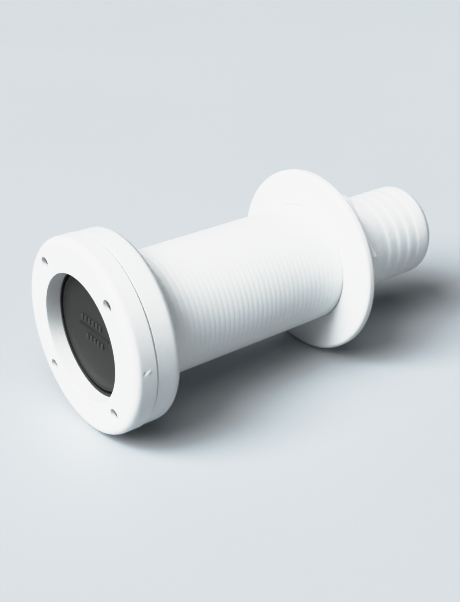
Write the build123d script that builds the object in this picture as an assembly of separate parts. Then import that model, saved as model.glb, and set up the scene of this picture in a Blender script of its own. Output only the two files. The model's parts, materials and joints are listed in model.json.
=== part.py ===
from build123d import *
import math
import os

# Plastic thru-hull fitting with a rubber non-return flap, for 38 mm (1 1/2 in) hose.
# Millimetres. The pipe's axis is Y. The origin is on it, in the plane of the flange's
# rear face, which seats on the outside of the hull. +Y runs inboard, to the hose tail.
# +Z is up, with the flap's hinge at the top.

# ---- hull body: flange, threaded tube and hose tail in one moulding ----
flange_r = 36.4
flange_t = 10.4
flange_edge_r = 3.2
tube_r = 24.0
tube_end = 99.6
tube_end_chamfer = 1.2
bore_r = 19.3
taper_start = 93.0

thread_pitch = 25.4 / 11.5
thread_depth = 0.3
thread_crest = 1.0
thread_flank = 0.40
thread_start = 3.0
thread_count = 42

tail_r = 19.4
tail_end = 143.6
tail_bore_r = 14.5
tail_nose_r = 4.8
tail_taper_end = 105.0
rib_pitch = 5.76
rib_depth = 0.2
rib_start = 111.6
rib_count = 4
rib_face = 1.0

# ---- face ring: clamps the rubber against the flange ----
ring_r = 36.7
ring_t = 9.0
ring_front_r = 2.9
ring_rear_r = 0.6
ring_hole_r = 24.0
ring_lip_r = 0.3
rebate_r = 34.5
rebate_depth = 3.0
gate_mark_y = 5.3
gate_mark_size = (0.8, 2.6, 1.2)
gate_mark_angle = 3.0

# ---- four self-tapping screws ----
screw_count = 4
screw_pcd = 60.0
screw_first_angle = 45.0
counterbore_r = 2.6
counterbore_depth = 3.4
ring_screw_hole_r = 1.6
screw_head_r = 2.4
screw_head_h = 1.9
screw_head_edge_r = 0.5
screw_shank_r = 1.45
screw_length = 13.0
screw_point = 2.5
screw_pilot_r = 1.25
screw_pilot_depth = 9.0
cross_length = 3.0
cross_width = 0.7
cross_depth = 1.1

# ---- rubber: fixed gasket ring, and the flap that hangs in it ----
gasket_r = 34.3
gasket_screw_hole_r = 1.7
slit_inner_r = 22.6
slit_outer_r = 23.2
slit_rise = 0.5
flap_t = 2.6
flap_edge_bevel = 0.8
hinge_z = 20.0
hinge_gap = 1.0
hinge_width = 18.0
hinge_t = 1.2
hinge_clearance = 0.05
bar_sizes = ((14.0, 2.6), (20.0, 0.8), (12.0, 2.6))
bar_places = ((-1.2, 4.1), (0.0, 0.7), (0.6, -2.7))
bar_proud = 0.4

# ---- flanged nut ----
nut_front = 85.5
nut_disc_r = 37.8
nut_disc_t = 4.0
nut_disc_front_r = 1.6
nut_disc_rear_r = 1.0
nut_hub_sides = 8
nut_hub_across_flats = 61.0
nut_hub_t = 7.0
nut_hub_corner_r = 0.8
nut_hub_corner_angle = 19.0
nut_hub_edge = 0.5
nut_clearance = 0.06
nut_chamfer = 0.4

# ---- places that follow from those ----
flange_front = -flange_t
ring_front = flange_front - ring_t
gasket_front = flange_front - rebate_depth
hinge_y = flange_front - rebate_depth / 2
screw_seat = ring_front + counterbore_depth


def corner_arc(centre, radius, first_deg, last_deg):
    """Quarter-round corner in the radius-length plane, from one angle to another."""
    return CenterArc(centre, radius, first_deg, last_deg - first_deg)


def revolved(*edges):
    """Solid of revolution about Y from an outline in the radius-length plane."""
    return revolve(make_face(Curve() + list(edges)), Axis.Y)


def along_y(radius, start, end, x=0.0, z=0.0):
    """Cylinder along Y between two places."""
    plane = Plane(origin=(x, start, z), x_dir=(1, 0, 0), z_dir=(0, 1, 0))
    return plane * extrude(Circle(radius), end - start)


def screw_places():
    """X and Z of each screw on its pitch circle."""
    radius = screw_pcd / 2
    for index in range(screw_count):
        angle = math.radians(screw_first_angle + index * 360.0 / screw_count)
        yield radius * math.cos(angle), radius * math.sin(angle)


def sheet(outline, middle_y, thickness):
    """Flat piece across the pipe: an outline drawn in X and Z, spread about middle_y."""
    plane = Plane(origin=(0, middle_y, 0), x_dir=(1, 0, 0), z_dir=(0, -1, 0))
    return plane * extrude(outline, thickness / 2, both=True)


def thread_points():
    """Round grooves at the thread's pitch and depth, cut between flat crests."""
    points = []
    for index in range(thread_count):
        y = thread_start + index * thread_pitch
        root_end = y + thread_pitch - thread_crest
        points += [
            (tube_r, y),
            (tube_r - thread_depth, y + thread_flank),
            (tube_r - thread_depth, root_end - thread_flank),
            (tube_r, root_end),
        ]
    return points


def rib_points():
    """Shallow saw-tooth ribs that grip the hose, steep on the side towards the hull."""
    points = []
    for index in range(rib_count):
        crest = rib_start + index * rib_pitch
        points += [(tail_r, crest), (tail_r - rib_depth, crest + rib_pitch - rib_face)]
    return points + [(tail_r, rib_start + rib_count * rib_pitch)]


def make_hull_body():
    nose_start = tail_end - tail_nose_r
    lead = [
        (bore_r, flange_front),
        (flange_r, flange_front),
        (flange_r, -flange_edge_r),
    ]
    middle = [(flange_r - flange_edge_r, 0), (tube_r, 0)]
    middle += thread_points()
    middle += [
        (tube_r, tube_end - tube_end_chamfer),
        (tube_r - tube_end_chamfer, tube_end),
        (tail_r, tube_end),
    ]
    middle += rib_points()
    middle += [(tail_r, nose_start)]
    rear = [
        (tail_r - tail_nose_r, tail_end),
        (tail_bore_r, tail_end),
        (tail_bore_r, tail_taper_end),
        (bore_r, taper_start),
        (bore_r, flange_front),
    ]
    body = revolved(
        Polyline(*lead),
        corner_arc((flange_r - flange_edge_r, -flange_edge_r), flange_edge_r, 0, 90),
        Polyline(*middle),
        corner_arc((tail_r - tail_nose_r, nose_start), tail_nose_r, 0, 90),
        Polyline(*rear),
    )
    for x, z in screw_places():
        body -= along_y(screw_pilot_r, flange_front, flange_front + screw_pilot_depth, x, z)
    return body


def make_face_ring():
    lip_centre = (ring_hole_r + ring_lip_r, ring_front + ring_lip_r)
    front_centre = (ring_r - ring_front_r, ring_front + ring_front_r)
    rear_centre = (ring_r - ring_rear_r, flange_front - ring_rear_r)
    ring = revolved(
        Line((ring_hole_r, gasket_front), (ring_hole_r, lip_centre[1])),
        corner_arc(lip_centre, ring_lip_r, 180, 270),
        Line((lip_centre[0], ring_front), (front_centre[0], ring_front)),
        corner_arc(front_centre, ring_front_r, 270, 360),
        Line((ring_r, front_centre[1]), (ring_r, rear_centre[1])),
        corner_arc(rear_centre, ring_rear_r, 0, 90),
        Polyline(
            (rear_centre[0], flange_front),
            (rebate_r, flange_front),
            (rebate_r, gasket_front),
            (ring_hole_r, gasket_front),
        ),
    )
    for x, z in screw_places():
        ring -= along_y(counterbore_r, ring_front, screw_seat, x, z)
        ring -= along_y(ring_screw_hole_r, screw_seat, gasket_front, x, z)
    mark = fillet(Box(*gate_mark_size).edges().filter_by(Axis.X), 0.4)
    mark = Pos(ring_r, ring_front + gate_mark_y, 0) * mark
    return ring + Rot(0, -gate_mark_angle, 0) * mark


def make_face_screw(x, z):
    head_top = screw_seat - screw_head_h
    shank_end = screw_seat + screw_length
    edge_centre = (screw_head_r - screw_head_edge_r, head_top + screw_head_edge_r)
    screw = revolved(
        Line((0, head_top), (edge_centre[0], head_top)),
        corner_arc(edge_centre, screw_head_edge_r, 270, 360),
        Polyline(
            (screw_head_r, edge_centre[1]),
            (screw_head_r, screw_seat),
            (screw_shank_r, screw_seat),
            (screw_shank_r, shank_end - screw_point),
            (0, shank_end),
            (0, head_top),
        ),
    )
    recess = Box(cross_length, 2 * cross_depth, cross_width)
    recess += Box(cross_width, 2 * cross_depth, cross_length)
    screw -= Pos(0, head_top, 0) * recess
    return Pos(x, 0, z) * screw


def below(z):
    """Half of the X-Z plane below a height, to trim an outline."""
    reach = 4 * ring_r
    return Pos(0, z - reach / 2) * Rectangle(reach, reach)


def make_flap_gasket():
    opening = Pos(0, slit_rise) * Circle(slit_outer_r) & below(hinge_z + hinge_gap)
    outline = Circle(gasket_r) - opening
    for x, z in screw_places():
        outline -= Pos(x, z) * Circle(gasket_screw_hole_r)
    gasket = sheet(outline, hinge_y, rebate_depth)
    root_low = hinge_z + hinge_t / 2 + hinge_clearance
    root_high = hinge_z + 2 * hinge_gap
    root = Pos(0, (root_low + root_high) / 2) * Rectangle(hinge_width, root_high - root_low)
    return gasket + sheet(root, hinge_y, hinge_t)


def make_flap_disc():
    top = hinge_z - hinge_gap
    outline = Pos(0, slit_rise) * Circle(slit_inner_r) & below(top)
    disc = sheet(outline, hinge_y, flap_t)
    front_edges = disc.faces().sort_by(Axis.Y)[0].edges().filter_by(GeomType.CIRCLE)
    disc = chamfer(front_edges, flap_edge_bevel)
    tab = Pos(0, hinge_z - hinge_gap) * Rectangle(hinge_width, 2 * hinge_gap)
    tab = tab & below(hinge_z)
    disc += sheet(tab, hinge_y, hinge_t)
    disc += Pos(0, hinge_y, hinge_z) * Rot(0, 90, 0) * Cylinder(hinge_t / 2, hinge_width)
    for (x, z), (width, height) in zip(bar_places, bar_sizes):
        bar = Pos(x, z) * RectangleRounded(width, height, height * 0.45)
        disc += sheet(bar, hinge_y - flap_t / 2, 2 * bar_proud)
    return disc


def make_flange_nut():
    bore = tube_r + nut_clearance
    disc_rear = nut_front + nut_disc_t
    nut_rear = disc_rear + nut_hub_t
    disc = revolved(
        Line((bore, nut_front), (nut_disc_r - nut_disc_front_r, nut_front)),
        corner_arc(
            (nut_disc_r - nut_disc_front_r, nut_front + nut_disc_front_r), nut_disc_front_r, 270, 360
        ),
        Line((nut_disc_r, nut_front + nut_disc_front_r), (nut_disc_r, disc_rear - nut_disc_rear_r)),
        corner_arc(
            (nut_disc_r - nut_disc_rear_r, disc_rear - nut_disc_rear_r), nut_disc_rear_r, 0, 90
        ),
        Polyline((nut_disc_r - nut_disc_rear_r, disc_rear), (bore, disc_rear), (bore, nut_front)),
    )
    hub = RegularPolygon(nut_hub_across_flats / 2, nut_hub_sides, major_radius=False)
    hub = Rot(0, 0, nut_hub_corner_angle) * fillet(hub.vertices(), nut_hub_corner_r)
    hub = sheet(hub, (disc_rear + nut_rear) / 2, nut_hub_t)
    hub = chamfer(hub.faces().sort_by(Axis.Y)[-1].edges(), nut_hub_edge)
    nut = disc + hub - along_y(bore, nut_front - 1, nut_rear + 1)
    mouths = nut.edges().filter_by(GeomType.CIRCLE).filter_by(lambda e: abs(e.radius - bore) < 0.01)
    ends = mouths.sort_by(Axis.Y)
    return chamfer([ends[0], ends[-1]], nut_chamfer)


os.makedirs("parts", exist_ok=True)

export_step(make_hull_body(), "parts/hull_body.step")
export_step(make_face_ring(), "parts/face_ring.step")
for number, (screw_x, screw_z) in enumerate(screw_places(), start=1):
    export_step(make_face_screw(screw_x, screw_z), f"parts/face_screw_{number}.step")
export_step(make_flap_gasket(), "parts/flap_gasket.step")
export_step(make_flap_disc(), "parts/flap_disc.step")
export_step(make_flange_nut(), "parts/flange_nut.step")
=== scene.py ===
import json
import math
import bpy
import bmesh
import numpy as np
from mathutils import Matrix, Vector


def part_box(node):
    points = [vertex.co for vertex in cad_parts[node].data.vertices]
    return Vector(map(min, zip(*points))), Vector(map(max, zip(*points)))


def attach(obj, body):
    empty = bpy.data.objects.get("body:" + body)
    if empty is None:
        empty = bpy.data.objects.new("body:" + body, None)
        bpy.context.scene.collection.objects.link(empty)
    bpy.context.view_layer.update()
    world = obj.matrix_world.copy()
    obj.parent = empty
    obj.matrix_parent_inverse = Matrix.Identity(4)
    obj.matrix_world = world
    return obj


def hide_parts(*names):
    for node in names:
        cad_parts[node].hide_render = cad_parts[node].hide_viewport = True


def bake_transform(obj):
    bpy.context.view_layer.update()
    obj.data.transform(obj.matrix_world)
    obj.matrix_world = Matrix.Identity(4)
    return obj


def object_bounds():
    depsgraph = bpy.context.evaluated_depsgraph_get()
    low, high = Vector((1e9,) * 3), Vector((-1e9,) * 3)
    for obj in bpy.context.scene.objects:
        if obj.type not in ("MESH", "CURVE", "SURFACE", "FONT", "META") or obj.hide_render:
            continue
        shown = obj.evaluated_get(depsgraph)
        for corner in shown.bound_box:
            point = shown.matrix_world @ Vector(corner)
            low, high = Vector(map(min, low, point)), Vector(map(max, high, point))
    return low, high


# Looks for a white plastic thru-hull fitting. Metres, in the CAD frame: the pipe lies
# along Y with its face ring at -Y, and +Z is up.

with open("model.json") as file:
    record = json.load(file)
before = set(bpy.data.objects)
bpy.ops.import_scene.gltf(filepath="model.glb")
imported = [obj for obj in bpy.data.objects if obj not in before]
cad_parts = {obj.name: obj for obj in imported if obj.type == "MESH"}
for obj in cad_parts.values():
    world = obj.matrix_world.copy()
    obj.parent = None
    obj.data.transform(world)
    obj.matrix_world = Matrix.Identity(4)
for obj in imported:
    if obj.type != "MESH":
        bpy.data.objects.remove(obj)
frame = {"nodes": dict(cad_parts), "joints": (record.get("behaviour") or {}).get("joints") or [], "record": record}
cad_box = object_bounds()

MM = 0.001
LOOP_STEP = 0.3 * MM
SHORT_STEP = 0.2 * MM
PAST_ROUND = 1.0 * MM
MERGE_DISTANCE = 1e-6
SAME = 1e-7
SHARP_ANGLE = math.radians(35)
MOUNTS = {mount["name"]: mount for mount in frame["record"]["mounts"]}
JOINTS = {joint["name"]: joint for joint in frame["joints"]}
BODY_LOW, BODY_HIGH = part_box("hull_body")
RING_LOW, RING_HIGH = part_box("face_ring")
NUT_LOW, NUT_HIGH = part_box("flange_nut")
GASKET_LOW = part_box("flap_gasket")[0]
FLAP_LOW, FLAP_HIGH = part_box("flap_disc")
SCREWS = [f"face_screw_{number}" for number in range(1, 5)]

# ---- hull body ----
FLANGE_FRONT = BODY_LOW.y
FLANGE_R = BODY_HIGH.z
FLANGE_EDGE_R = 3.2 * MM
FLANGE_SEAM_R = 0.5 * MM
SEAM_GAP = 0.1 * MM
SEAM_DEPTH = 0.8 * MM
TUBE_R = 24.0 * MM
TUBE_ROOT_R = 1.0 * MM
TAIL_MOUNT = MOUNTS["hose_tail"]
TUBE_END = TAIL_MOUNT["pos_m"][1] - TAIL_MOUNT["dims"]["length_mm"] / 2 * MM
TUBE_END_CHAMFER = 1.2 * MM
TAIL_ROOT_R = 0.6 * MM
TAIL_MOUTH_R = 0.3 * MM
BORE_R = 19.3 * MM
TAPER_START = 93.0 * MM
TAPER_END = 105.0 * MM
THREAD_PITCH = 25.4 * MM / 11.5
THREAD_DEPTH = 0.048 * MM
THREAD_FIRST = 2.5 * MM
THREAD_LAST = TUBE_END - TUBE_END_CHAMFER - 0.4 * MM
THREAD_FADE = 2.0 * MM
THREAD_STEPS = 10
THREAD_SHARPNESS = 2.5
TAIL_R = TAIL_MOUNT["dims"]["r_mm"] * MM
TAIL_END = BODY_HIGH.y
TAIL_BORE_R = MOUNTS["tail_bore"]["dims"]["r_mm"] * MM
TAIL_NOSE_R = 4.8 * MM
RIB_PITCH = 5.76 * MM
RIB_DEPTH = 0.18 * MM
RIB_FIRST = 111.6 * MM
RIB_COUNT = 4
RIB_LAST = RIB_FIRST + RIB_COUNT * RIB_PITCH
RIB_RAMP = 0.72
RIB_STEPS = 12
BODY_FACETS = 192

# ---- face ring ----
RING_FRONT = RING_LOW.y
RING_REAR = RING_HIGH.y
RING_R = RING_HIGH.z
RING_FRONT_R = 2.9 * MM
RING_REAR_R = 0.6 * MM
RING_HOLE_R = 24.0 * MM
RING_LIP_R = 0.3 * MM
REBATE_R = 34.5 * MM
REBATE_FLOOR = GASKET_LOW.y
RING_FACETS = 240
GATE_FACETS = 45
HOLE_RIM_R = 0.3 * MM
COUNTERBORE_R = 2.6 * MM
SCREW_HOLE_R = 1.6 * MM
HOLE_FACETS = 48
OVERCUT = 1.0 * MM
# Middle along Y, half length, half height, and how far it stands proud.
GATE_BUMP = (RING_FRONT + 5.6 * MM, 0.8 * MM, 0.55 * MM, 0.18 * MM)
GATE_DENT = (RING_FRONT + 4.0 * MM, 0.45 * MM, 0.55 * MM, -0.30 * MM)
GATE_ANGLE = math.radians(3.0)
GATE_SLANT = 0.35
GATE_EDGE = 0.8 * MM
GATE_REACH = math.radians(4.5)
GATE_CLEAR = 1.1 * GATE_REACH

# ---- screws ----
SCREW_HEAD_R = 2.4 * MM
SCREW_HEAD_H = 1.9 * MM
SCREW_DOME = 0.35 * MM
SCREW_SHANK_R = 1.45 * MM
SCREW_POINT = 2.5 * MM
SCREW_PITCH = 1.1 * MM
SCREW_THREAD_DEPTH = 0.3 * MM
CROSS_REACH = 1.55 * MM
CROSS_HALF_WIDTH = 0.36 * MM
CROSS_DEPTH = 1.15 * MM
CROSS_MOUTH = 1.12
CROSS_FOOT = 0.45
SCREW_DOME_RADII = (0.7 * MM, 1.3 * MM, 1.8 * MM)
SCREW_RIM_R = 0.45 * MM
SCREW_RIM_DROP = 0.7 * MM
SCREW_STATIONS = 76
SCREW_NECK = 0.4 * MM
SCREW_RIDGE = 4.5
SCREW_TURN = 20.0
SCREW_TURN_STEP = 34.0
SCREW_FACETS = 40

# ---- nut ----
NUT_FRONT = NUT_LOW.y
NUT_REAR = NUT_HIGH.y
NUT_DISC_R = NUT_HIGH.z
NUT_DISC_REAR = NUT_FRONT + 4.0 * MM
NUT_DISC_FRONT_R = 1.6 * MM
NUT_DISC_REAR_R = 1.0 * MM
HUB_SIDES = 8
HUB_APOTHEM = 30.5 * MM
HUB_CORNER_R = 0.8 * MM
HUB_CORNER_ANGLE = math.radians(19.0)
HUB_ROOT_R = 0.6 * MM
HUB_MARKER = 1.0
NUT_EDGE_R = 0.5 * MM
NUT_BORE_R = TUBE_R + 0.06 * MM
NUT_CHAMFER = 0.2 * MM

# ---- rubber flap ----
HINGE = Vector(JOINTS["flap_swing"]["pos_m"])
FLAP_R = FLAP_HIGH.x
FLAP_MIDDLE_Z = FLAP_LOW.z + FLAP_R
FLAP_REAR = FLAP_HIGH.y
FLAP_T = 2.6 * MM
FLAP_BEVEL = 0.8 * MM
FLAP_INNER_R = 4.0 * MM
WEB_T = 1.2 * MM
WEB_WIDTH = 18.0 * MM
WEB_REACH = 1.0 * MM
WEB_ROWS = 12
FLAP_FACETS = 160
WEB_LAP = 0.5 * MM
WEB_SPARE = 0.05 * MM
# Inset from the flap's bevel, and depth.
RIM_GROOVE = ((1.2 * MM, 0.0), (0.9 * MM, 0.18 * MM), (0.5 * MM, 0.18 * MM), (0.2 * MM, 0.0))
PROUD = "proud"
MARK_PROUD = 0.4 * MM
MARK_END_R = 0.5 * MM
MARK_ROUNDNESS = 0.9
MARK_SHOULDER = 0.3
MARK_ROOT = 0.6 * MM
MARK_INSET = 0.15 * MM
BLOCK_HEIGHT = 2.6 * MM
BLOCK_WIDTH = 1.7 * MM
BLOCK_STEP = 2.46 * MM
# X and Z of each row's middle, and its number of blocks.
BLOCK_ROWS = ((-1.2 * MM, 4.1 * MM, 6), (0.6 * MM, -2.7 * MM, 5))
RULE_SIZE = (20.0 * MM, 0.8 * MM)
RULE_PLACE = (0.0, 0.7 * MM)

# ---- materials ----
# How far the painted shade on the white plastic reaches out of grooves and corners.
PLASTIC_SHADE_REACH = 1.0 * MM
# How far the painted shade on the rubber and the steel reaches out of corners and recesses.
SHADE_REACH = 0.8 * MM

# ---- room, lights and camera ----
VIEW_AZIMUTH = math.radians(52.25)
VIEW_ELEVATION = math.radians(27.42)
VIEW_DISTANCE = 0.390
AIM = Vector((-8.8, 54.7, -12.15)) * MM
LENS = 57.45
SENSOR = 36.0
FLOOR_HALF = 4.0
SOFTNESS = math.radians(42)
LIGHT_COLOUR = (1.0, 1.0, 0.99)
# Amounts of light, and how bright each is shown, where 1 is white.
RESPONSE = (
    (0.1, 0.075), (0.2, 0.15), (0.33, 0.26), (0.43, 0.365), (0.55, 0.55),
    (0.68, 0.73), (0.85, 0.85), (1.1, 0.90), (1.6, 0.93),
)


# ---------------------------------------------------------------- shapes

def arc(centre, radius, first, last, steps):
    """Points round a corner, between two angles in degrees."""
    angles = np.radians(np.linspace(first, last, steps + 1))
    return [(centre[0] + radius * math.cos(a), centre[1] + radius * math.sin(a)) for a in angles]


def line(start, end, steps):
    """Evenly spaced points from start up to, but not including, end."""
    return [tuple(np.array(start) + (np.array(end) - start) * i / steps) for i in range(steps)]


def even_angles(count):
    return np.arange(count) * 2 * math.pi / count


def new_piece(name, vertices, faces, material):
    """Mesh object with outward normals and smooth shading broken at its sharp edges."""
    mesh = bpy.data.meshes.new(name)
    mesh.from_pydata([tuple(v) for v in vertices], [], faces)
    piece = bpy.data.objects.new(name, mesh)
    bpy.context.scene.collection.objects.link(piece)
    piece.data.materials.append(material)
    tidy_normals(piece)
    return piece


def tidy_normals(piece):
    mesh = bmesh.new()
    mesh.from_mesh(piece.data)
    bmesh.ops.recalc_face_normals(mesh, faces=mesh.faces)
    mesh.to_mesh(piece.data)
    mesh.free()
    piece.data.polygons.foreach_set("use_smooth", [True] * len(piece.data.polygons))
    piece.data.set_sharp_from_angle(angle=SHARP_ANGLE)


def turned(name, outline, angles, material, radius_at=None, centre=(0.0, 0.0)):
    """Solid turned about a line along Y from a closed outline of (radius, y) points.
    Points at zero radius close the solid on its axis."""
    outline = np.array(outline, float)
    radius = np.repeat(outline[None, :, 0], len(angles), axis=0)
    length = np.repeat(outline[None, :, 1], len(angles), axis=0)
    turn = np.repeat(np.array(angles)[:, None], len(outline), axis=1)
    if radius_at:
        radius = radius_at(radius, length, turn)
    x = centre[0] + radius * np.cos(turn)
    z = centre[1] + radius * np.sin(turn)
    vertices = np.stack([x, length, z], axis=-1).reshape(-1, 3)
    rows, columns = len(angles), len(outline)
    faces = []
    for i in range(rows):
        after = (i + 1) % rows
        for j in range(columns):
            beside = (j + 1) % columns
            faces.append((
                i * columns + j, after * columns + j, after * columns + beside, i * columns + beside
            ))
    piece = new_piece(name, vertices, faces, material)
    mesh = bmesh.new()
    mesh.from_mesh(piece.data)
    bmesh.ops.remove_doubles(mesh, verts=mesh.verts, dist=MERGE_DISTANCE)
    bmesh.ops.dissolve_degenerate(mesh, edges=mesh.edges, dist=SAME)
    mesh.to_mesh(piece.data)
    mesh.free()
    tidy_normals(piece)
    return piece


def settle(piece):
    """Turns a piece's modifiers into its mesh."""
    bpy.context.view_layer.update()
    depsgraph = bpy.context.evaluated_depsgraph_get()
    settled = bpy.data.meshes.new_from_object(piece.evaluated_get(depsgraph))
    piece.modifiers.clear()
    piece.data = settled
    return piece


def carve(piece, tool, operation="DIFFERENCE"):
    """Cuts a tool out of a piece, or joins it on, and uses the tool up."""
    modifier = piece.modifiers.new("carve", "BOOLEAN")
    modifier.operation = operation
    modifier.object = tool
    modifier.solver = "EXACT"
    settle(piece)
    bpy.data.objects.remove(tool)
    tidy_normals(piece)
    return piece


def block(name, low, high, material, rows=1):
    """Box between two corners, cut into rows along Z so that it can bend."""
    vertices, faces = [], []
    corners = [(low[0], low[1]), (high[0], low[1]), (high[0], high[1]), (low[0], high[1])]
    for row in range(rows + 1):
        z = low[2] + (high[2] - low[2]) * row / rows
        vertices += [(x, y, z) for x, y in corners]
    for row in range(rows):
        base = 4 * row
        for side in range(4):
            after = (side + 1) % 4
            faces.append((base + side, base + after, base + 4 + after, base + 4 + side))
    faces += [(0, 1, 2, 3), tuple(4 * rows + side for side in range(4))]
    return new_piece(name, vertices, faces, material)


def smooth_step(value):
    value = np.clip(value, 0, 1)
    return value * value * (3 - 2 * value)


# ---------------------------------------------------------------- materials

class Nodes:
    """A material's node tree, with short calls for the nodes used here."""

    def __init__(self, name):
        self.material = bpy.data.materials.new(name)
        self.material.use_nodes = True
        self.tree = self.material.node_tree
        self.surface = self.tree.nodes["Principled BSDF"]
        self.place = self.node("ShaderNodeTexCoord").outputs["Object"]

    def node(self, kind, **inputs):
        made = self.tree.nodes.new(kind)
        for socket, value in inputs.items():
            self.put(made.inputs[socket.replace("_", " ")], value)
        return made

    def put(self, socket, value):
        if isinstance(value, bpy.types.NodeSocket):
            self.tree.links.new(value, socket)
        else:
            socket.default_value = value

    def set(self, **inputs):
        for socket, value in inputs.items():
            self.put(self.surface.inputs[socket.replace("_", " ")], value)

    def noise(self, scale, detail=3.0, roughness=0.5):
        made = self.node("ShaderNodeTexNoise", Scale=scale, Detail=detail, Roughness=roughness)
        self.put(made.inputs["Vector"], self.place)
        return made.outputs["Fac"]

    def ramp(self, factor, low, high, start, end):
        """Maps a factor from low..high to start..end, clamped."""
        made = self.node("ShaderNodeMapRange")
        names = ("Value", "From Min", "From Max", "To Min", "To Max")
        for socket, value in zip(names, (factor, low, high, start, end)):
            self.put(made.inputs[socket], value)
        return made.outputs["Result"]

    def mix(self, factor, first, second):
        made = self.tree.nodes.new("ShaderNodeMix")
        made.data_type = "RGBA"
        for index, value in ((0, factor), (6, first), (7, second)):
            self.put(made.inputs[index], value)
        return made.outputs[2]

    def bump(self, height, strength, distance, under=None):
        made = self.node("ShaderNodeBump", Strength=strength, Distance=distance, Height=height)
        if under:
            self.tree.links.new(under, made.inputs["Normal"])
        return made.outputs["Normal"]

    def openness(self, reach):
        """Near 1 in the open, and lower within reach of a groove or an inner corner."""
        made = self.node("ShaderNodeAmbientOcclusion", Distance=reach)
        made.samples = 8
        return made.outputs["AO"]


def rgb(red, green, blue):
    return (red, green, blue, 1.0)


def white_plastic(name):
    """Satin white moulded nylon: faint mottling, fine mould grain, and painted shade darkening its grooves and
    inner corners.
    """
    nodes = Nodes(name)
    mottle = nodes.noise(38.0, 4.0, 0.55)
    grain = nodes.noise(2600.0, 2.0)
    flow = nodes.noise(160.0, 3.0)
    clean = rgb(0.80, 0.815, 0.82)
    warm = rgb(0.77, 0.78, 0.775)
    painted_shade = rgb(0.50, 0.52, 0.52)
    colour = nodes.mix(nodes.ramp(mottle, 0.35, 0.65, 0.0, 1.0), clean, warm)
    # Painted shade: the colour turns blue-grey where grooves and inner corners hem the surface in.
    groove = nodes.ramp(nodes.openness(PLASTIC_SHADE_REACH), 0.30, 0.75, 0.55, 0.0)
    colour = nodes.mix(groove, colour, painted_shade)
    roughness = nodes.ramp(nodes.noise(90.0, 4.0, 0.6), 0.3, 0.7, 0.34, 0.46)
    waves = nodes.bump(flow, 0.10, 0.0004)
    nodes.set(
        Base_Color=colour,
        Roughness=roughness,
        IOR=1.49,
        Normal=nodes.bump(grain, 0.12, 0.00006, waves),
    )
    return nodes.material


def black_rubber(name, shade, highlight_attribute=None):
    """Matt moulded rubber with a fine grain, a dusty bloom and painted shade in its corners. A mesh attribute,
    where it is named, tells how far a face stands proud and so how much painted highlight it gets."""
    nodes = Nodes(name)
    bloom = nodes.ramp(nodes.noise(55.0, 5.0, 0.62), 0.42, 0.75, 0.0, 1.0)
    grain = nodes.noise(1900.0, 3.0, 0.6)
    dark = rgb(shade, shade * 1.02, shade)
    dusty = rgb(shade * 1.9, shade * 1.9, shade * 1.75)
    colour = nodes.mix(bloom, dark, dusty)
    if highlight_attribute:
        proud_height = nodes.node("ShaderNodeAttribute")
        proud_height.attribute_name = highlight_attribute
        # Painted highlight: faces that stand proud are painted lighter, as if catching the light.
        painted_highlight = nodes.ramp(proud_height.outputs["Fac"], 0.5, 1.0, 0.0, 0.8)
        colour = nodes.mix(painted_highlight, colour, rgb(shade * 2.6, shade * 2.7, shade * 2.7))
    # Painted shade: the rubber is painted near black in its corners and grooves.
    corners = nodes.ramp(nodes.openness(SHADE_REACH), 0.45, 0.92, 0.85, 0.0)
    nodes.set(
        Base_Color=nodes.mix(corners, colour, rgb(0.006, 0.006, 0.006)),
        Roughness=nodes.ramp(bloom, 0.0, 1.0, 0.48, 0.66),
        Normal=nodes.bump(grain, 0.25, 0.00008),
    )
    return nodes.material


def screw_steel(name):
    """Stainless, lightly brushed, with dark base colours that paint in the shade and dark reflections of its
    recess, and painted shade deeper in.
    """
    nodes = Nodes(name)
    scratches = nodes.noise(1400.0, 4.0, 0.7)
    # Painted shade: the steel is painted darker still where the recess hems it in.
    recess = nodes.ramp(nodes.openness(SHADE_REACH), 0.30, 0.85, 0.8, 0.0)
    # Base colours darkened to paint in the recess's shade and dark reflections.
    steel = nodes.mix(nodes.noise(300.0), rgb(0.17, 0.17, 0.168), rgb(0.26, 0.257, 0.25))
    nodes.set(
        Base_Color=nodes.mix(recess, steel, rgb(0.08, 0.08, 0.075)),
        Metallic=1.0,
        Roughness=nodes.ramp(scratches, 0.3, 0.7, 0.30, 0.46),
        Normal=nodes.bump(scratches, 0.2, 0.00003),
    )
    return nodes.material


def floor_paint(name):
    nodes = Nodes(name)
    fleck = nodes.noise(6.0, 2.0)
    nodes.set(
        Base_Color=nodes.mix(fleck, rgb(0.42, 0.445, 0.465), rgb(0.435, 0.46, 0.48)),
        Roughness=0.9,
    )
    return nodes.material


# ---------------------------------------------------------------- hull body

def thread_stations():
    """Points along the tube, close enough together to carry the thread's form."""
    turns = (THREAD_LAST - THREAD_FIRST) / THREAD_PITCH
    return line((TUBE_R, THREAD_FIRST), (TUBE_R, THREAD_LAST), round(turns * THREAD_STEPS))


def cut_thread(radius, length, turn):
    """Right-hand helical groove with round crests, fading out at both ends."""
    phase = length / THREAD_PITCH + turn / (2 * math.pi)
    groove = (0.5 - 0.5 * np.cos(2 * math.pi * phase)) ** THREAD_SHARPNESS
    fade = smooth_step((length - THREAD_FIRST) / THREAD_FADE)
    fade = fade * smooth_step((THREAD_LAST - length) / THREAD_FADE)
    on_tube = np.abs(radius - TUBE_R) < SAME
    return radius - on_tube * fade * groove * THREAD_DEPTH


def rib_stations():
    """Low rounded saw-tooth ribs, steep on the side towards the hull."""
    points = []
    for rib in range(RIB_COUNT):
        for step in range(RIB_STEPS):
            part = step / RIB_STEPS
            if part < RIB_RAMP:
                drop = smooth_step(part / RIB_RAMP)
            else:
                drop = 1 - smooth_step((part - RIB_RAMP) / (1 - RIB_RAMP))
            points.append((TAIL_R - RIB_DEPTH * drop, RIB_FIRST + (rib + part) * RIB_PITCH))
    return points


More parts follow.
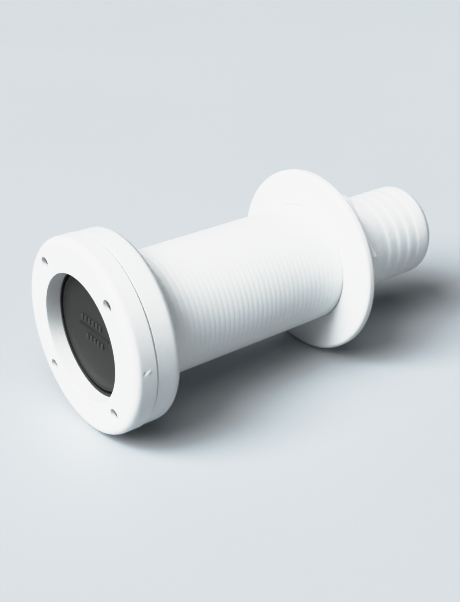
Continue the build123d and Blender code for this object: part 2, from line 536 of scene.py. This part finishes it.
def make_hull_body(material):
    seam = FLANGE_FRONT + SEAM_GAP + FLANGE_SEAM_R
    nose = TAIL_END - TAIL_NOSE_R
    chamfer_start = TUBE_END - TUBE_END_CHAMFER
    flange_corner = FLANGE_R - FLANGE_EDGE_R
    outline = line((BORE_R, FLANGE_FRONT), (FLANGE_R - SEAM_DEPTH, FLANGE_FRONT), 6)
    outline += [(FLANGE_R - SEAM_DEPTH, FLANGE_FRONT)]
    outline += [(FLANGE_R - SEAM_DEPTH, FLANGE_FRONT + SEAM_GAP)]
    outline += arc((FLANGE_R - FLANGE_SEAM_R, seam), FLANGE_SEAM_R, 270, 360, 4)
    outline += line((FLANGE_R, seam + SHORT_STEP), (FLANGE_R, -FLANGE_EDGE_R), 5)
    outline += arc((flange_corner, -FLANGE_EDGE_R), FLANGE_EDGE_R, 0, 90, 14)
    outline += line((flange_corner - LOOP_STEP, 0), (TUBE_R + TUBE_ROOT_R, 0), 4)
    outline += arc((TUBE_R + TUBE_ROOT_R, TUBE_ROOT_R), TUBE_ROOT_R, 270, 180, 5)
    outline += thread_stations()
    outline += [(TUBE_R, THREAD_LAST), (TUBE_R, chamfer_start)]
    outline += [(TUBE_R - TUBE_END_CHAMFER, TUBE_END), (TAIL_R + TAIL_ROOT_R, TUBE_END)]
    outline += arc((TAIL_R + TAIL_ROOT_R, TUBE_END + TAIL_ROOT_R), TAIL_ROOT_R, 270, 180, 4)
    outline += line((TAIL_R, TUBE_END + PAST_ROUND), (TAIL_R, RIB_FIRST), 6)
    outline += rib_stations()
    outline += [(TAIL_R, RIB_LAST)]
    outline += arc((TAIL_R - TAIL_NOSE_R, nose), TAIL_NOSE_R, 0, 90, 14)
    outline += arc((TAIL_BORE_R + TAIL_MOUTH_R, TAIL_END - TAIL_MOUTH_R), TAIL_MOUTH_R, 90, 180, 3)
    outline += line((TAIL_BORE_R, TAIL_END - PAST_ROUND), (TAIL_BORE_R, TAPER_END), 6)
    outline += line((TAIL_BORE_R, TAPER_END), (BORE_R, TAPER_START), 3)
    outline += line((BORE_R, TAPER_START), (BORE_R, FLANGE_FRONT), 16)
    body = turned("hull_body_moulding", outline, even_angles(BODY_FACETS), material, cut_thread)
    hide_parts("hull_body")
    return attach(body, "hull_body")


# ---------------------------------------------------------------- face ring

def gate_scar(radius, length, turn):
    """The moulding gate's remnant on the ring's side: a torn pip beside a small dent."""
    on_side = radius > RING_R - GATE_EDGE
    around = np.angle(np.exp(1j * (turn - GATE_ANGLE))) * RING_R
    for middle, half_length, half_height, proud in (GATE_BUMP, GATE_DENT):
        along = length - middle
        slanted = around - GATE_SLANT * along
        shape = np.exp(-((along / half_length) ** 4) - (slanted / half_height) ** 4)
        radius = radius + on_side * proud * shape
    return radius


def ring_angles():
    """Even steps round the ring, with finer ones across the gate's remnant."""
    coarse = even_angles(RING_FACETS)
    apart = np.abs(np.angle(np.exp(1j * (coarse - GATE_ANGLE))))
    fine = GATE_ANGLE + np.linspace(-GATE_REACH, GATE_REACH, GATE_FACETS)
    return np.sort(np.concatenate([coarse[apart > GATE_CLEAR], fine % (2 * math.pi)]))


def screw_hole_tool(centre, seat, material):
    """Stepped hole with a softly rounded mouth, to cut out of the ring."""
    above, below = RING_FRONT - OVERCUT, REBATE_FLOOR + OVERCUT
    mouth = COUNTERBORE_R + HOLE_RIM_R
    outline = [(0, above), (mouth, above)]
    outline += arc((mouth, RING_FRONT + HOLE_RIM_R), HOLE_RIM_R, 270, 180, 4)
    outline += [(COUNTERBORE_R, seat), (SCREW_HOLE_R, seat), (SCREW_HOLE_R, below), (0, below)]
    return turned("tool", outline, even_angles(HOLE_FACETS), material, centre=centre)


def screw_axis(node):
    low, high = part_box(node)
    return (low.x + high.x) / 2, (low.z + high.z) / 2


def make_face_ring(material):
    lip = RING_FRONT + RING_LIP_R
    front = RING_FRONT + RING_FRONT_R
    rear = RING_REAR - RING_REAR_R
    outline = line((RING_HOLE_R, REBATE_FLOOR), (RING_HOLE_R, lip), 6)
    outline += arc((RING_HOLE_R + RING_LIP_R, lip), RING_LIP_R, 180, 270, 6)
    outline += line((RING_HOLE_R + RING_LIP_R + SHORT_STEP, RING_FRONT),
                    (RING_R - RING_FRONT_R, RING_FRONT), 4)
    outline += arc((RING_R - RING_FRONT_R, front), RING_FRONT_R, 270, 360, 12)
    outline += line((RING_R, front + SHORT_STEP), (RING_R, rear), 22)
    outline += arc((RING_R - RING_REAR_R, rear), RING_REAR_R, 0, 90, 5)
    outline += [(REBATE_R, RING_REAR), (REBATE_R, REBATE_FLOOR)]
    ring = turned("face_ring_moulding", outline, ring_angles(), material, gate_scar)
    for screw in SCREWS:
        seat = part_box(screw)[0].y + SCREW_HEAD_H
        carve(ring, screw_hole_tool(screw_axis(screw), seat, material))
    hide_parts("face_ring")
    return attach(ring, "hull_body")


# ---------------------------------------------------------------- screws

def cross_tool(centre, top, turn, material):
    """Tapered cross, narrower at its foot, to cut a screw's recess."""
    reach, half = CROSS_REACH, CROSS_HALF_WIDTH
    corner = [(reach, -half), (reach, half), (half, half)]
    flat = []
    for quarter in range(4):
        spin = Matrix.Rotation(turn + quarter * math.pi / 2, 2)
        flat += [spin @ Vector(point) for point in corner]
    layers = ((top - 0.5 * OVERCUT, CROSS_MOUTH), (top + CROSS_DEPTH, CROSS_FOOT))
    vertices = [(centre[0] + p.x * k, y, centre[1] + p.y * k) for y, k in layers for p in flat]
    count = len(flat)
    faces = [(i, (i + 1) % count, count + (i + 1) % count, count + i) for i in range(count)]
    faces += [tuple(range(count)), tuple(range(count, 2 * count))]
    return new_piece("tool", vertices, faces, material)


def make_screw(node, turn, material):
    low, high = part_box(node)
    centre = screw_axis(node)
    seat, tip = low.y + SCREW_HEAD_H, high.y
    core_r = SCREW_SHANK_R - SCREW_THREAD_DEPTH
    neck, point = (SCREW_SHANK_R, seat + SCREW_NECK), (SCREW_SHANK_R, tip - SCREW_POINT)

    def cut(radius, length, angle):
        phase = length / SCREW_PITCH + angle / (2 * math.pi)
        ridge = np.maximum(0, 1 - SCREW_RIDGE * np.abs(phase - np.round(phase)))
        on_shank = np.abs(radius - SCREW_SHANK_R) < SAME
        return radius - on_shank * SCREW_THREAD_DEPTH * (1 - ridge)

    outline = [(0, low.y)]
    outline += [(r, low.y + SCREW_DOME * (r / SCREW_HEAD_R) ** 2) for r in SCREW_DOME_RADII]
    outline += arc((SCREW_HEAD_R - SCREW_RIM_R, low.y + SCREW_RIM_DROP), SCREW_RIM_R, 290, 360, 5)
    outline += [(SCREW_HEAD_R, seat), (core_r, seat)]
    outline += line(neck, point, SCREW_STATIONS)
    outline += [(core_r, tip - SCREW_POINT), (0, tip)]
    screw = turned(f"{node}_detail", outline, even_angles(SCREW_FACETS), material, cut, centre)
    carve(screw, cross_tool(centre, low.y, turn, material))
    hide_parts(node)
    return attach(screw, "hull_body")


# ---------------------------------------------------------------- rubber flap

def raised_mark(place, size, material):
    """Low mark with rounded corners and sloping sides, moulded on the flap's outer face."""
    half_width, half_height = size[0] / 2, size[1] / 2
    end_r = min(MARK_END_R, half_height * MARK_ROUNDNESS)
    front = FLAP_REAR - FLAP_T
    rim = []
    for quarter, (side, level) in enumerate(((1, 1), (-1, 1), (-1, -1), (1, -1))):
        centre = (side * (half_width - end_r), level * (half_height - end_r))
        rim += arc(centre, end_r, 90 * quarter, 90 * quarter + 90, 3)
    shoulder = front - MARK_PROUD * MARK_SHOULDER
    layers = ((front + MARK_ROOT, 0.0), (shoulder, 0.0), (front - MARK_PROUD, MARK_INSET))
    vertices = []
    for y, inset in layers:
        for x, z in rim:
            x -= math.copysign(inset, x)
            z -= math.copysign(inset, z)
            vertices.append((place[0] + x, y, place[1] + z))
    count, faces = len(rim), []
    for layer in range(len(layers) - 1):
        for i in range(count):
            after = (i + 1) % count
            a, b = layer * count, (layer + 1) * count
            faces.append((a + i, a + after, b + after, b + i))
    last = (len(layers) - 1) * count
    faces += [tuple(range(count)), tuple(range(last, last + count))]
    return new_piece("tool", vertices, faces, material)


def raised_marks():
    """Place and size of each mark: a long rule between two rows of plain blocks."""
    marks = [(RULE_PLACE, RULE_SIZE)]
    for middle_x, z, count in BLOCK_ROWS:
        for index in range(count):
            x = middle_x + (index - (count - 1) / 2) * BLOCK_STEP
            marks.append(((x, z), (BLOCK_WIDTH, BLOCK_HEIGHT)))
    return marks


def make_flap(material):
    front = FLAP_REAR - FLAP_T
    rim = FLAP_R - FLAP_BEVEL
    outline = [(0, front)]
    outline += line((FLAP_INNER_R, front), (rim - RIM_GROOVE[0][0], front), 4)
    outline += [(rim - inset, front + depth) for inset, depth in RIM_GROOVE]
    outline += [(rim, front)]
    outline += arc((rim, front + FLAP_BEVEL), FLAP_BEVEL, 290, 360, 5)
    outline += [(FLAP_R, FLAP_REAR - SHORT_STEP), (FLAP_R - SHORT_STEP, FLAP_REAR), (0, FLAP_REAR)]
    middle = (0.0, FLAP_MIDDLE_Z)
    flap = turned("rubber_flap", outline, even_angles(FLAP_FACETS), material, centre=middle)
    top = HINGE.z - WEB_REACH
    away = 40 * MM
    waste = block("tool", (-away, front - away, top), (away, FLAP_REAR + away, top + away), material)
    carve(flap, waste)
    web_top = HINGE.z + WEB_T / 2 + WEB_SPARE
    web_low = (-WEB_WIDTH / 2, HINGE.y - WEB_T / 2, top - WEB_LAP)
    web = block("tool", web_low, (WEB_WIDTH / 2, HINGE.y + WEB_T / 2, web_top), material, WEB_ROWS)
    carve(flap, web, "UNION")
    for place, size in raised_marks():
        carve(flap, raised_mark(place, size, material), "UNION")
    # How far each point stands proud; the rubber reads it to paint a highlight on the raised marks.
    proud = flap.data.attributes.new(PROUD, "FLOAT", "POINT")
    heights = [(front - vertex.co.y) / MARK_PROUD for vertex in flap.data.vertices]
    proud.data.foreach_set("value", np.clip(heights, 0, 1))
    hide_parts("flap_disc")
    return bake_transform(flap)


# ---------------------------------------------------------------- nut

def nut_angles():
    """Even steps round the nut, with finer ones at its hub's corners."""
    side, near, fine, coarse = 360 / HUB_SIDES, 3.0, 0.5, 1.5
    offsets = np.concatenate([
        np.arange(0, near, fine),
        np.arange(near, side - near + 0.1, coarse),
        np.arange(side - near + fine, side, fine),
    ])
    turns = [corner * side + offsets for corner in range(HUB_SIDES)]
    return HUB_CORNER_ANGLE + np.radians(np.concatenate(turns))


def hub_radius(turn, apothem):
    """Distance from the axis to an eight-sided hub with softly rounded corners."""
    side = 2 * math.pi / HUB_SIDES
    from_corner = (turn - HUB_CORNER_ANGLE + side / 2) % side - side / 2
    flat = apothem / np.cos(side / 2 - np.abs(from_corner))
    centre = (apothem - HUB_CORNER_R) / math.cos(side / 2)
    across = np.minimum(np.abs(centre * np.sin(from_corner)), HUB_CORNER_R)
    corner = centre * np.cos(from_corner) + np.sqrt(HUB_CORNER_R ** 2 - across ** 2)
    near = np.abs(centre * np.sin(from_corner)) < HUB_CORNER_R * math.sin(side / 2)
    return np.where(near, corner, flat)


def make_nut(material):
    disc_front = NUT_FRONT + NUT_DISC_FRONT_R
    disc_rear = NUT_DISC_REAR - NUT_DISC_REAR_R
    hub_front = NUT_DISC_REAR + 2 * HUB_ROOT_R
    hub_rear = NUT_REAR - NUT_EDGE_R

    def shape(radius, length, turn):
        """A radius near the hub marker stands for the hub: the rest is the offset from its flats."""
        on_hub = radius > HUB_MARKER / 2
        hub = hub_radius(turn, HUB_APOTHEM + np.where(on_hub, radius - HUB_MARKER, 0))
        phase = length / THREAD_PITCH + turn / (2 * math.pi)
        groove = (0.5 + 0.5 * np.cos(2 * math.pi * phase)) * THREAD_DEPTH
        inside = np.abs(radius - NUT_BORE_R) < SAME
        return np.where(on_hub, hub, radius + inside * groove)

    outline = arc((NUT_DISC_R - NUT_DISC_FRONT_R, disc_front), NUT_DISC_FRONT_R, 270, 360, 8)
    outline += arc((NUT_DISC_R - NUT_DISC_REAR_R, disc_rear), NUT_DISC_REAR_R, 0, 90, 6)
    outline += [(NUT_DISC_R - NUT_DISC_REAR_R - LOOP_STEP, NUT_DISC_REAR)]
    root = arc((HUB_ROOT_R, NUT_DISC_REAR + HUB_ROOT_R), HUB_ROOT_R, 270, 180, 4)
    outline += [(HUB_MARKER + r, y) for r, y in root]
    outline += [(HUB_MARKER, hub_front), (HUB_MARKER, hub_rear - LOOP_STEP)]
    edge = arc((-NUT_EDGE_R, hub_rear), NUT_EDGE_R, 0, 90, 5)
    outline += [(HUB_MARKER + r, y) for r, y in edge]
    outline += [(HUB_MARKER - 2 * NUT_EDGE_R, NUT_REAR)]
    outline += [(NUT_BORE_R + NUT_CHAMFER + LOOP_STEP, NUT_REAR)]
    outline += [(NUT_BORE_R + NUT_CHAMFER, NUT_REAR)]
    start, end = NUT_REAR - NUT_CHAMFER, NUT_FRONT + NUT_CHAMFER
    turns = (start - end) / THREAD_PITCH
    outline += line((NUT_BORE_R, start), (NUT_BORE_R, end), round(turns * THREAD_STEPS))
    outline += [(NUT_BORE_R, end), (NUT_BORE_R + NUT_CHAMFER, NUT_FRONT)]
    outline += [(NUT_BORE_R + NUT_CHAMFER + LOOP_STEP, NUT_FRONT)]
    outline += [(NUT_DISC_R - NUT_DISC_FRONT_R - LOOP_STEP, NUT_FRONT)]
    nut = turned("flange_nut_moulding", outline, nut_angles(), material, shape)
    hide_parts("flange_nut")
    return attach(nut, "nut")


# ---------------------------------------------------------------- room, lights and camera

def view_back():
    """From the object towards the camera."""
    level = math.cos(VIEW_ELEVATION)
    return Vector((
        math.sin(VIEW_AZIMUTH) * level, -math.cos(VIEW_AZIMUTH) * level, math.sin(VIEW_ELEVATION)
    ))


def make_camera():
    camera = bpy.data.objects.new("camera", bpy.data.cameras.new("camera"))
    bpy.context.scene.collection.objects.link(camera)
    camera.data.lens = LENS
    camera.data.sensor_width = SENSOR
    camera.data.clip_start = 0.01
    camera.location = AIM + view_back() * VIEW_DISTANCE
    camera.rotation_euler = (-view_back()).to_track_quat("-Z", "Y").to_euler()
    bpy.context.scene.camera = camera


def make_floor():
    half, height = FLOOR_HALF, cad_box[0].z
    corners = [(x, y, height) for x, y in ((-half, -half), (half, -half), (half, half), (-half, half))]
    floor = new_piece("floor", corners, [(0, 1, 2, 3)], floor_paint("floor_paint"))


def soft_light(name, direction, strength):
    """Very broad, far-off light, as from a large soft box, that lights the floor evenly."""
    lamp = bpy.data.lights.new(name, "SUN")
    lamp.angle = SOFTNESS
    lamp.energy = strength
    lamp.color = LIGHT_COLOUR
    light = bpy.data.objects.new(name, lamp)
    bpy.context.scene.collection.objects.link(light)
    light.rotation_euler = (-Vector(direction)).to_track_quat("-Z", "Y").to_euler()


def make_lights():
    soft_light("key", (0.0, -1.0, 1.0), 4.8)
    soft_light("top", (0.35, -0.4, 1.0), 1.3)


def make_room():
    """Dim bluish light from all round, in a room that is as pale as the floor."""
    world = bpy.data.worlds.new("room")
    bpy.context.scene.world = world
    world.use_nodes = True
    tree = world.node_tree
    light = tree.nodes["Background"]
    light.inputs["Color"].default_value = rgb(0.62, 0.80, 0.95)
    light.inputs["Strength"].default_value = 0.08
    walls = tree.nodes.new("ShaderNodeBackground")
    walls.inputs["Color"].default_value = rgb(0.62, 0.655, 0.68)
    seen = tree.nodes.new("ShaderNodeLightPath")
    room = tree.nodes.new("ShaderNodeMixShader")
    tree.links.new(seen.outputs["Is Camera Ray"], room.inputs["Fac"])
    tree.links.new(light.outputs["Background"], room.inputs[1])
    tree.links.new(walls.outputs["Background"], room.inputs[2])
    tree.links.new(room.outputs["Shader"], tree.nodes["World Output"].inputs["Surface"])


def set_exposure():
    """A contrasty response to light, with a soft shoulder under white."""
    view = bpy.context.scene.view_settings
    view.view_transform = "Standard"
    view.use_curve_mapping = True
    view.curve_mapping.white_level = (RESPONSE[-1][0],) * 3
    curve = view.curve_mapping.curves[3]
    curve.points[-1].location = (1.0, RESPONSE[-1][1])
    for light, shown in RESPONSE[:-1]:
        curve.points.new(light / RESPONSE[-1][0], shown)
    view.curve_mapping.update()


make_camera()
make_lights()
make_room()
set_exposure()
make_floor()

body_plastic = white_plastic("body_plastic")
ring_plastic = white_plastic("ring_plastic")
nut_plastic = white_plastic("nut_plastic")
gasket_rubber = black_rubber("gasket_rubber", 0.015)
# The flap's raised marks get a painted highlight.
flap_rubber = black_rubber("flap_rubber", 0.019, PROUD)
steel = screw_steel("screw_steel")

make_hull_body(body_plastic)
make_face_ring(ring_plastic)
for index, node in enumerate(SCREWS):
    make_screw(node, math.radians(SCREW_TURN + SCREW_TURN_STEP * index), steel)
make_flap(flap_rubber)
make_nut(nut_plastic)
frame["nodes"]["flap_gasket"].data.materials.clear()
frame["nodes"]["flap_gasket"].data.materials.append(gasket_rubber)
